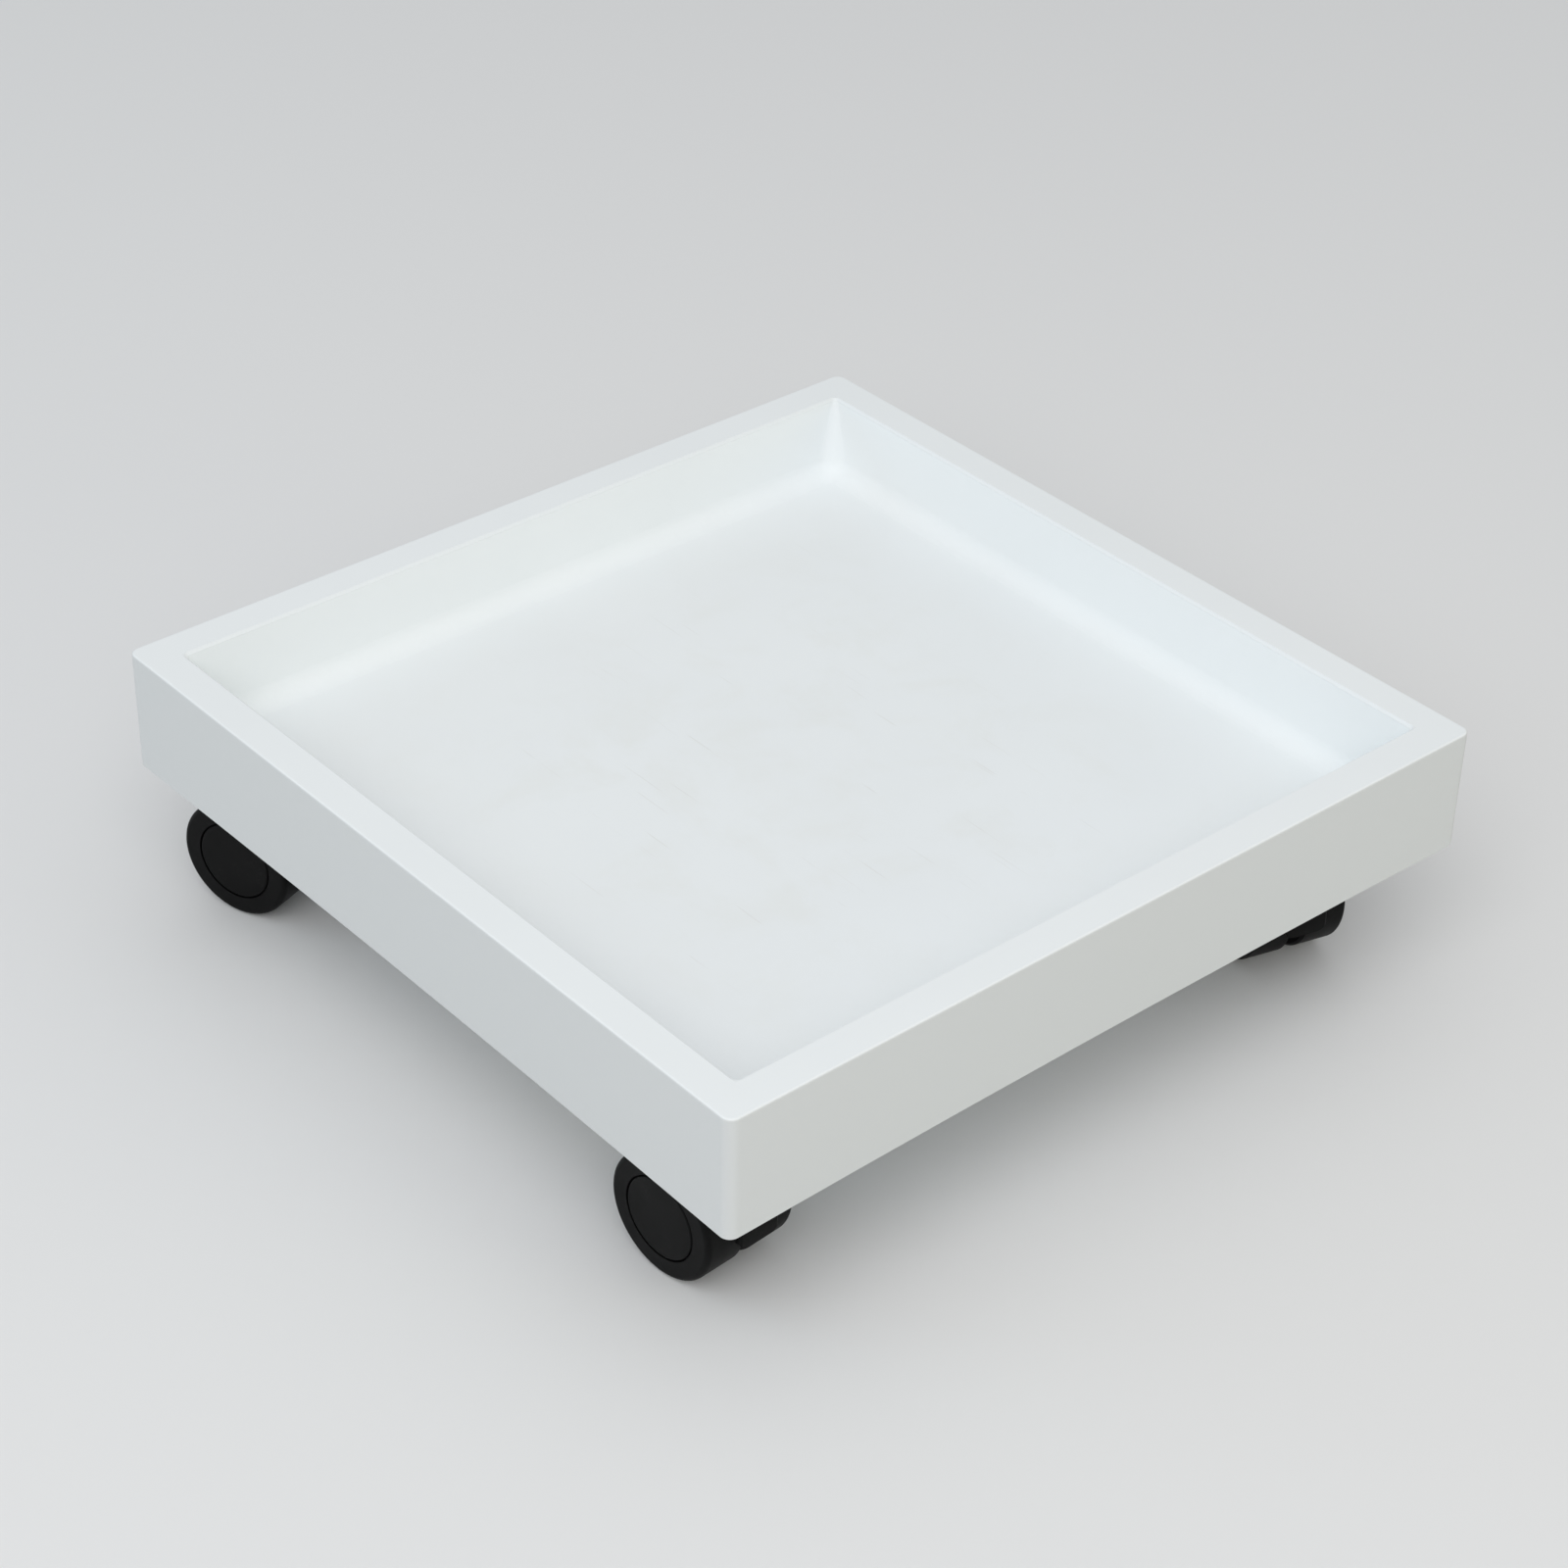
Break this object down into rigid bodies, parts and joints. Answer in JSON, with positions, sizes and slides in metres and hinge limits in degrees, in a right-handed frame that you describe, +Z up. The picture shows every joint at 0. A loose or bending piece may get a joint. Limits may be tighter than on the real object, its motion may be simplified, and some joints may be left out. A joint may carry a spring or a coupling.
{
  "type": "plant pot caddy",
  "caption": "Square moulded plastic tray with a raised flat rim and a sunken floor for a plant pot, rolling on twin-wheel swivel casters screwed up under its corners.",
  "frame": {"origin": "on the ground, under the middle of the tray", "axes": "+Z up; the tray sides run along X and Y; -Y and +X are the two sides the picture shows"},
  "size_m": [0.3029, 0.3, 0.095],
  "materials": {
    "tray_plastic": "satin",
    "housing_nylon": "satin",
    "wheel_nylon": "satin",
    "cap_plastic": "satin",
    "washer_nylon": "satin",
    "zinc_steel": "satin",
    "screw_steel": "satin",
    "axle_steel": "satin",
    "spring_steel": "satin"
  },
  "bodies": {
    "tray": {"tray": "tray_plastic", "front_left_top_plate": "zinc_steel", "front_left_kingpin": "zinc_steel", "front_left_kingpin_ring": "spring_steel", "front_left_screws": "screw_steel", "front_right_top_plate": "zinc_steel", "front_right_kingpin": "zinc_steel", "front_right_kingpin_ring": "spring_steel", "front_right_screws": "screw_steel", "rear_right_top_plate": "zinc_steel", "rear_right_kingpin": "zinc_steel", "rear_right_kingpin_ring": "spring_steel", "rear_right_screws": "screw_steel", "rear_left_top_plate": "zinc_steel", "rear_left_kingpin": "zinc_steel", "rear_left_kingpin_ring": "spring_steel", "rear_left_screws": "screw_steel"},
    "front_left_swivel": {"front_left_housing": "housing_nylon", "front_left_washer": "washer_nylon", "front_left_axle": "axle_steel", "front_left_axle_clips": "spring_steel"},
    "front_left_wheel_left_body": {"front_left_wheel_left": "wheel_nylon", "front_left_cap_left": "cap_plastic"},
    "front_left_wheel_right_body": {"front_left_wheel_right": "wheel_nylon", "front_left_cap_right": "cap_plastic"},
    "front_right_swivel": {"front_right_housing": "housing_nylon", "front_right_washer": "washer_nylon", "front_right_axle": "axle_steel", "front_right_axle_clips": "spring_steel"},
    "front_right_wheel_left_body": {"front_right_wheel_left": "wheel_nylon", "front_right_cap_left": "cap_plastic"},
    "front_right_wheel_right_body": {"front_right_wheel_right": "wheel_nylon", "front_right_cap_right": "cap_plastic"},
    "rear_right_swivel": {"rear_right_housing": "housing_nylon", "rear_right_washer": "washer_nylon", "rear_right_axle": "axle_steel", "rear_right_axle_clips": "spring_steel"},
    "rear_right_wheel_left_body": {"rear_right_wheel_left": "wheel_nylon", "rear_right_cap_left": "cap_plastic"},
    "rear_right_wheel_right_body": {"rear_right_wheel_right": "wheel_nylon", "rear_right_cap_right": "cap_plastic"},
    "rear_left_swivel": {"rear_left_housing": "housing_nylon", "rear_left_washer": "washer_nylon", "rear_left_axle": "axle_steel", "rear_left_axle_clips": "spring_steel"},
    "rear_left_wheel_left_body": {"rear_left_wheel_left": "wheel_nylon", "rear_left_cap_left": "cap_plastic"},
    "rear_left_wheel_right_body": {"rear_left_wheel_right": "wheel_nylon", "rear_left_cap_right": "cap_plastic"}
  },
  "joints": [
    {"name": "front_left_swivel_turn", "type": "hinge", "parent": "tray", "child": "front_left_swivel", "pos_m": [-0.1143, -0.1127, 0.05], "axis": [0, 0, 1], "continuous": true},
    {"name": "front_left_wheel_left_spin", "type": "hinge", "parent": "front_left_swivel", "child": "front_left_wheel_left_body", "pos_m": [-0.12822, -0.11744, 0.0207], "axis": [-0.3223, 0.9466, 0], "continuous": true},
    {"name": "front_left_wheel_right_spin", "type": "hinge", "parent": "front_left_swivel", "child": "front_left_wheel_right_body", "pos_m": [-0.12822, -0.11744, 0.0207], "axis": [-0.3223, 0.9466, 0], "continuous": true},
    {"name": "front_right_swivel_turn", "type": "hinge", "parent": "tray", "child": "front_right_swivel", "pos_m": [0.1155, -0.1175, 0.05], "axis": [0, 0, 1], "continuous": true},
    {"name": "front_right_wheel_left_spin", "type": "hinge", "parent": "front_right_swivel", "child": "front_right_wheel_left_body", "pos_m": [0.10084, -0.11853, 0.0207], "axis": [-0.0698, 0.9976, 0], "continuous": true},
    {"name": "front_right_wheel_right_spin", "type": "hinge", "parent": "front_right_swivel", "child": "front_right_wheel_right_body", "pos_m": [0.10084, -0.11853, 0.0207], "axis": [-0.0698, 0.9976, 0], "continuous": true},
    {"name": "rear_right_swivel_turn", "type": "hinge", "parent": "tray", "child": "rear_right_swivel", "pos_m": [0.1147, 0.1164, 0.05], "axis": [0, 0, 1], "continuous": true},
    {"name": "rear_right_wheel_left_spin", "type": "hinge", "parent": "rear_right_swivel", "child": "rear_right_wheel_left_body", "pos_m": [0.10053, 0.1203, 0.0207], "axis": [0.2656, 0.9641, 0], "continuous": true},
    {"name": "rear_right_wheel_right_spin", "type": "hinge", "parent": "rear_right_swivel", "child": "rear_right_wheel_right_body", "pos_m": [0.10053, 0.1203, 0.0207], "axis": [0.2656, 0.9641, 0], "continuous": true},
    {"name": "rear_left_swivel_turn", "type": "hinge", "parent": "tray", "child": "rear_left_swivel", "pos_m": [-0.115, 0.115, 0.05], "axis": [0, 0, 1], "continuous": true},
    {"name": "rear_left_wheel_left_spin", "type": "hinge", "parent": "rear_left_swivel", "child": "rear_left_wheel_left_body", "pos_m": [-0.12966, 0.11603, 0.0207], "axis": [0.0698, 0.9976, 0], "continuous": true},
    {"name": "rear_left_wheel_right_spin", "type": "hinge", "parent": "rear_left_swivel", "child": "rear_left_wheel_right_body", "pos_m": [-0.12966, 0.11603, 0.0207], "axis": [0.0698, 0.9976, 0], "continuous": true}
  ]
}
